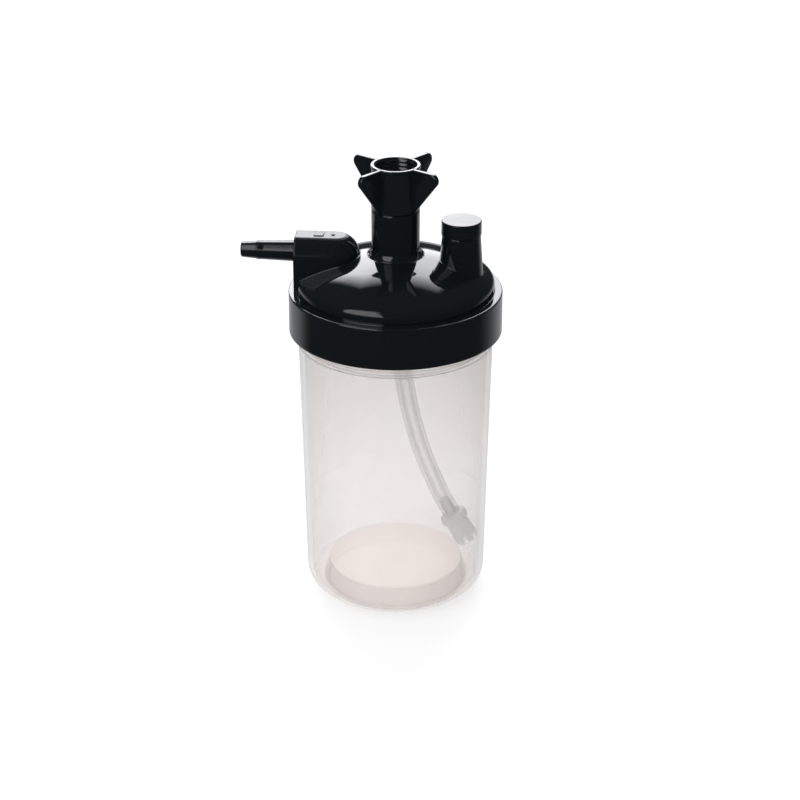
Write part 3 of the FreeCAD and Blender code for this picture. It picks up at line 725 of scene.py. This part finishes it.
def rounded(corners, steps=ARC_STEPS):
    """The corners (x, y) and (x, y, radius) as points, with each radius drawn as an arc."""
    out = []
    for number, corner in enumerate(corners):
        if len(corner) == 2:
            out.append(corner)
            continue
        tip = Vector(corner[:2])
        into = Vector(corners[number - 1][:2]) - tip
        away = Vector(corners[(number + 1) % len(corners)][:2]) - tip
        half = into.angle(away) / 2
        reach = min(corner[2] / math.tan(half), into.length * LONGEST_SHARE,
                    away.length * LONGEST_SHARE)
        middle = tip + (into.normalized() + away.normalized()).normalized() * reach / math.cos(half)
        first = tip + into.normalized() * reach - middle
        last = tip + away.normalized() * reach - middle
        for step in range(steps + 1):
            ray = first.lerp(last, step / steps).normalized() * first.length
            out.append(tuple(middle + ray))
    return out


square = [(0, 0), (9, 0), (9, 9, 2), (0, 9)]
print("a square with one round corner:", len(rounded(square)), "points")


# %% [markdown]
# ## Things set round an axis
#
# The nut has four wings, and the plug six teeth and a ring of ribs. One blank is made for each, and
# a Geometry Nodes tree sets copies of it round Z, so the count and the first turn are two numbers.
# The tree ends in real geometry with its material set, and a plain mesh is taken from it.

# %% A tree that sets copies of a blank round Z
def round_tree():
    tree = bpy.data.node_groups.new("set_round_the_axis", "GeometryNodeTree")
    face = tree.interface
    face.new_socket("Blank", in_out="INPUT", socket_type="NodeSocketGeometry")
    face.new_socket("Count", in_out="INPUT", socket_type="NodeSocketInt")
    face.new_socket("First Turn", in_out="INPUT", socket_type="NodeSocketFloat")
    face.new_socket("Finish", in_out="INPUT", socket_type="NodeSocketMaterial")
    face.new_socket("Whole", in_out="OUTPUT", socket_type="NodeSocketGeometry")
    given = tree.nodes.new("NodeGroupInput").outputs
    points = node(tree, "GeometryNodePoints", {}, {"Count": Wire(tree, given["Count"])})
    number = node(tree, "GeometryNodeInputIndex", {}, {})
    turn = number / Wire(tree, given["Count"]) * math.tau + Wire(tree, given["First Turn"])
    spin = node(tree, "ShaderNodeCombineXYZ", {}, {"Z": turn})
    rotation = node(tree, "FunctionNodeEulerToRotation", {}, {0: spin})
    copies = node(tree, "GeometryNodeInstanceOnPoints", {},
                  {"Points": points, "Instance": Wire(tree, given["Blank"]), "Rotation": rotation})
    finish_tree(tree, copies, given)
    return tree


def finish_tree(tree, shape, given):
    """End a tree: real geometry, its material, and the output."""
    real = node(tree, "GeometryNodeRealizeInstances", {}, {0: shape})
    whole = node(tree, "GeometryNodeSetMaterial", {},
                 {"Geometry": real, "Material": Wire(tree, given["Finish"])})
    tree.links.new(whole.socket, tree.nodes.new("NodeGroupOutput").inputs["Whole"])


ROUND_TREE = round_tree()
print(f"{ROUND_TREE.name}: {len(ROUND_TREE.nodes)} nodes")


# %% [markdown]
# A tree runs as a modifier. Its inputs are set by each socket's identifier before it first runs.
# The result is copied to a plain mesh, and the object that carried the modifier is removed.

# %% Running a tree
def grown(blank, tree, values):
    """The plain mesh that a tree makes from a blank mesh and some named values."""
    carrier = new_object(blank.name, blank)
    modifier = carrier.modifiers.new(tree.name, "NODES")
    modifier.node_group = tree
    for item in tree.interface.items_tree:
        if item.name in values:
            modifier[item.identifier] = values[item.name]
    bpy.context.view_layer.update()
    ready = carrier.evaluated_get(bpy.context.evaluated_depsgraph_get())
    mesh = bpy.data.meshes.new_from_object(ready)
    bpy.data.objects.remove(carrier)
    print(f"{blank.name}: {len(mesh.polygons)} faces")
    return mesh


def set_round(blank, count, first_turn, material):
    values = {"Count": count, "First Turn": first_turn, "Finish": material}
    return grown(blank, ROUND_TREE, values)


def joined(name, meshes, shift):
    """Several meshes as one, moved to their place."""
    shape = bmesh.new()
    for mesh in meshes:
        shape.from_mesh(mesh)
    shape.transform(shift)
    mesh = bpy.data.meshes.new(name)
    shape.to_mesh(mesh)
    shape.free()
    keep_sharp(mesh)
    return mesh


# %% [markdown]
# ## Flat blanks
#
# A wing, a tooth and a rib are each a flat slab with softened edges. The slab stands in the XZ
# plane, so its outline is a profile too, and a bevel rounds the edges between its faces.

# %% A slab with rounded edges
BEVELLED_ABOVE = math.radians(60)


def slab(name, outline, thick_mm, edge_mm):
    half = thick_mm / 2 * MM
    count = len(outline)
    points = [(x * MM, side, z * MM) for side in (-half, half) for x, z in outline]
    faces = [tuple(range(count)), tuple(range(2 * count - 1, count - 1, -1))]
    faces += [(i, count + i, count + (i + 1) % count, (i + 1) % count) for i in range(count)]
    mesh = bpy.data.meshes.new(name)
    mesh.from_pydata(points, [], faces)
    shape = bmesh.new()
    shape.from_mesh(mesh)
    bmesh.ops.recalc_face_normals(shape, faces=shape.faces)
    edges = [edge for edge in shape.edges
             if len(edge.link_faces) == 2 and edge.calc_face_angle() > BEVELLED_ABOVE]
    bmesh.ops.bevel(shape, geom=edges, offset=edge_mm * MM, segments=3, profile=0.5,
                    affect="EDGES", clamp_overlap=True)
    bmesh.ops.triangulate(shape, faces=[face for face in shape.faces if len(face.verts) > 4])
    shape.to_mesh(mesh)
    shape.free()
    keep_sharp(mesh)
    return mesh


# %% [markdown]
# ## The thread in the nut
#
# A thread is a small ridge on a helix. A Geometry Nodes tree sweeps a square, set on its corner,
# along a spiral curve. The turns, radius, pitch and ridge are its inputs. The geometry that comes
# in is an empty mesh, and isn't used.

# %% A ridge swept along a helix
POINTS_PER_TURN = 48


def thread_tree():
    tree = bpy.data.node_groups.new("thread_ridge", "GeometryNodeTree")
    face = tree.interface
    face.new_socket("Nothing", in_out="INPUT", socket_type="NodeSocketGeometry")
    for name in ("Turns", "Radius", "Pitch", "Ridge"):
        face.new_socket(name, in_out="INPUT", socket_type="NodeSocketFloat")
    face.new_socket("Finish", in_out="INPUT", socket_type="NodeSocketMaterial")
    face.new_socket("Whole", in_out="OUTPUT", socket_type="NodeSocketGeometry")
    given = tree.nodes.new("NodeGroupInput").outputs
    turns, radius, pitch, ridge = (Wire(tree, given[name])
                                   for name in ("Turns", "Radius", "Pitch", "Ridge"))
    helix = node(tree, "GeometryNodeCurveSpiral", {},
                 {"Resolution": POINTS_PER_TURN, "Rotations": turns, "Start Radius": radius,
                  "End Radius": radius, "Height": turns * pitch, "Reverse": True})
    upright = node(tree, "GeometryNodeSetCurveNormal", {"mode": "Z_UP"}, {"Curve": helix})
    section = node(tree, "GeometryNodeCurvePrimitiveCircle", {},
                   {"Resolution": 4, "Radius": ridge})
    swept = node(tree, "GeometryNodeCurveToMesh", {},
                 {"Curve": upright, "Profile Curve": section, "Fill Caps": True})
    finish_tree(tree, swept, given)
    return tree


def thread(name, turns, radius_mm, pitch_mm, ridge_mm, low_mm, material):
    values = {"Turns": turns, "Radius": radius_mm * MM, "Pitch": pitch_mm * MM,
              "Ridge": ridge_mm * MM, "Finish": material}
    mesh = grown(bpy.data.meshes.new(name), THREAD_TREE, values)
    mesh.transform(Matrix.Translation((0, 0, low_mm * MM)))
    return mesh


THREAD_TREE = thread_tree()
print(f"{THREAD_TREE.name}: {len(THREAD_TREE.nodes)} nodes")


# %% [markdown]
# ## The winged nut
#
# The nut joins the bottle to the gas outlet, and is tightened by hand, so it has four broad wings
# with rounded tips. Inside it is the 9/16-18 thread, 18 turns to the inch. Its height and its place
# come from the CAD node that it stands for.

# %% The nut itself
nut_low, nut_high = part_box("wing_nut")
NUT_TALL = (nut_high.z - nut_low.z) / MM
NUT_TURN = math.radians(-35.7)
NUT_BORE, NUT_MOUTH, NUT_HUB, NUT_EYE = 6.98, 7.2, 8.1, 5.45
NUT_FLOOR = 2.6
WING_OUT, WING_ROUND, WING_THICK, WING_EDGE = 20.4, 2.25, 1.9, 0.45
WING_LOW, WING_ROOT = 0.15, NUT_HUB - 0.7
THREAD_TURNS, THREAD_PITCH, THREAD_RIDGE, THREAD_LOW = 5.6, 1.4111, 0.56, 6.6


def make_nut():
    collar = NUT_HUB + 0.2
    hub = turned_mesh("nut_hub", rounded([
        (NUT_EYE, 0, 0.2), (NUT_HUB, 0, 0.35), (NUT_HUB, NUT_TALL - 1.2, 0.15),
        (collar, NUT_TALL - 0.9, 0.15), (collar, NUT_TALL, 0.3), (NUT_MOUTH, NUT_TALL, 0.2),
        (NUT_BORE, NUT_TALL - 0.5), (NUT_BORE, NUT_FLOOR), (NUT_EYE, NUT_FLOOR),
    ]))
    wing_top = NUT_TALL - 0.02
    wing = slab("nut_wing", rounded([
        (WING_ROOT, WING_LOW), (NUT_HUB, WING_LOW), (WING_OUT, wing_top, WING_ROUND),
        (WING_ROOT, wing_top),
    ], steps=12), WING_THICK, WING_EDGE)
    wings = set_round(wing, 4, NUT_TURN, nut_black)
    ridge = thread("nut_thread", THREAD_TURNS, NUT_BORE + 0.06, THREAD_PITCH, THREAD_RIDGE,
                   THREAD_LOW, nut_black)
    whole = joined("nut_with_wings", [hub, wings, ridge], Matrix.Translation((0, 0, nut_low.z)))
    return place_piece(whole, nut_black, "nut", "black_nut", "wing_nut")


nut = make_nut()


# %% [markdown]
# ## The diffuser's plug
#
# Bubbles leave the tube through a small castellated plug. It has a ribbed flange to push it home
# by, and a crown of teeth that stands clear of the cup's floor. It is turned and set round on the Z
# axis, then tilted onto the tube's lower end.

# %% The plug itself
PLUG_BORE, PLUG_INSIDE = 1.3, 3.25
TEETH, RIBS = 6, 16


def make_diffuser():
    body = turned_mesh("plug_body", rounded([
        (PLUG_BORE, 6.5, 0.1), (1.9, 6.5, 0.3), (2.0, 0.1, 0.1), (4.5, 0, 0.4), (4.6, -3.0, 0.4),
        (4.0, -3.2, 0.2), (4.15, -8.8, 0.2), (PLUG_INSIDE, -8.8, 0.1), (PLUG_INSIDE, -2.2),
        (PLUG_BORE, -2.2),
    ]), 96)
    tooth = slab("plug_tooth", rounded([
        (PLUG_INSIDE, -8.6), (4.2, -8.6), (4.2, -11.5, 0.4), (PLUG_INSIDE, -11.5, 0.2),
    ]), 2.3, 0.25)
    rib = slab("plug_rib", rounded([
        (4.1, -0.25), (4.8, -0.3, 0.3), (4.8, -2.8, 0.3), (4.1, -2.9),
    ]), 1.0, 0.2)
    teeth = set_round(tooth, TEETH, 0.0, diffuser_clear)
    ribs = set_round(rib, RIBS, 0.0, diffuser_clear)
    end = tube_path[-1]
    ahead = (tube_path[-1] - tube_path[-2]).normalized()
    tilt = Vector((0, 0, -1)).rotation_difference(ahead).to_matrix().to_4x4()
    whole = joined("bubble_plug", [body, teeth, ribs], Matrix.Translation(end) @ tilt)
    return place_piece(whole, diffuser_clear, "lid", "grey_diffuser", "diffuser_body")


plug = make_diffuser()


# %% [markdown]
# The plug sits on the tube's lower end. The tube is short and keeps its set, and it hangs from the
# spigot.


# %% [markdown]
# ## The relief valve's spring
#
# A small steel spring holds the relief valve shut. When the valve lifts, the poppet pushes the
# spring shorter, and its top stays under the cap. A rigid node can't do that. Here the spring is a
# copy of the CAD node's own mesh, mended and given mesh data of its own.


def make_spring():
    mesh = nodes["relief_spring"].data.copy()
    mesh.name = "relief_coil"
    mend(mesh, MERGE_GAP / 2)
    piece = place_piece(mesh, spring_wire, "lid", "spring_steel", "relief_spring")
    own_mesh(piece)
    return piece


spring = make_spring()


# %% [markdown]
# ## The floor
#
# The bottle stands on a pale floor, which is only there to be stood on. It glows a little, so that
# the shadow under the bottle stays faint, and it isn't mirrored in the black plastic.

# %% Floor
FLOOR_REACH = 4.0


def lay_floor():
    low, high = -FLOOR_REACH, FLOOR_REACH
    mesh = bpy.data.meshes.new("floor")
    corners = [(low, low, 0), (high, low, 0), (high, high, 0), (low, high, 0)]
    mesh.from_pydata(corners, [], [(0, 1, 2, 3)])
    floor = new_object("floor", mesh)
    floor.visible_glossy = False
    material, tree = new_finish("floor_paper")
    surface(tree, {"Base Color": shade(0.38), "Roughness": 0.9, "Specular IOR Level": 0.1,
                   "Emission Color": shade(1.0), "Emission Strength": 0.55})
    mesh.materials.append(material)
    return floor


floor = lay_floor()
print("floor, m:", [round(v, 1) for v in floor.dimensions])


# %% [markdown]
# ## The room's light
#
# Glossy black plastic shows little but the room, so the room is painted with care. It is the
# world's own light, written by direction: a wide panel above and behind, a small lamp to the left,
# and a dim glow low on both sides. A direction's x and y over its height tell where it would meet
# a flat ceiling, and there the panel and the lamp are plain shapes with straight edges.

# %% The panel, the lamp and the low glow
ROOM_GLOW, PANEL_GLOW, LAMP_GLOW, LOW_GLOW = 0.05, 4.4, 2.3, 0.55
LEAST = 0.001    # keeps a division away from zero


def panel_light(x, y, z, side, back):
    behind = y.larger(LEAST)
    across, up = x / behind, z / behind
    near_edge = 0.66 + (-0.35 - side).larger(0) * 1.2
    far_edge = 0.18 + back * 0.22
    shape = ((back - near_edge).between(-0.10, 0.24, False)
             * (1 - (side - far_edge).between(-0.04, 0.04))
             * across.between(-0.72, -0.60) * up.between(0.16, 0.22) * y.between(0.0, 0.05))
    fade_back = 1.42 - back.between(1.0, 2.2) * 0.34
    fade_side = 1.28 - side.between(-0.4, 0.0) * 0.28
    return shape * fade_back * fade_side


def lamp_light(z, side, back):
    return ((1 - (side - back * 0.1).between(-0.26, -0.12)) * (1 - back.between(-0.28, -0.02))
            * (side - back * 1.3).between(-0.45, -0.25) * z.between(0.15, 0.25))


def low_light(x, y, z):
    round_z = x.maths("ARCTAN2", x, -1 * y)     # 0 in front, pi behind
    left = (-1 * round_z).between(1.7, 2.2)
    right = round_z.between(1.8, 2.6)
    return (1 - z.between(-0.16, -0.04)) * left.larger(right)


def hang_studio():
    world = bpy.data.worlds.new("studio")
    bpy.context.scene.world = world
    world.use_nodes = True
    tree = world.node_tree
    tree.nodes.clear()
    x, y, z = split(tree, node(tree, "ShaderNodeTexCoord", {}, {}, out="Generated"))
    high = z.larger(LEAST)
    side, back = x / high, y / high
    glow = (ROOM_GLOW + panel_light(x, y, z, side, back) * PANEL_GLOW
            + lamp_light(z, side, back) * LAMP_GLOW + low_light(x, y, z) * LOW_GLOW)
    shader = node(tree, "ShaderNodeBackground", {},
                  {"Color": shade((0.97, 0.97, 1.0)), "Strength": glow})
    node(tree, "ShaderNodeOutputWorld", {}, {"Surface": shader})
    return world


studio = hang_studio()
print(f"{studio.name}: {len(studio.node_tree.nodes)} nodes")


# %% [markdown]
# ## Two soft lamps
#
# The cup scatters light, so it needs light from lamps as well as from the room. A wide lamp hangs
# above and a smaller one stands in front. Neither is mirrored in the black plastic.

# %% Soft lamps
def hang_lamp(name, place, size, power):
    """A round lamp that looks at the bottle's foot."""
    data = bpy.data.lights.new(name, "AREA")
    data.shape = "DISK"
    data.size = size
    data.energy = power
    lamp = new_object(name, data)
    lamp.location = place
    lamp.rotation_euler = Vector(place).to_track_quat("Z", "Y").to_euler()
    lamp.visible_glossy = False
    return lamp


lamps = [hang_lamp("soft_above", (0.0, 0.0, 1.6), size=1.8, power=22.0),
         hang_lamp("soft_front", (0.35, -1.3, 0.7), size=1.0, power=5.0)]
bpy.context.scene.view_settings.view_transform = "Standard"
print("lamps:", [f"{lamp.name}, {lamp.data.energy:.0f} W" for lamp in lamps])
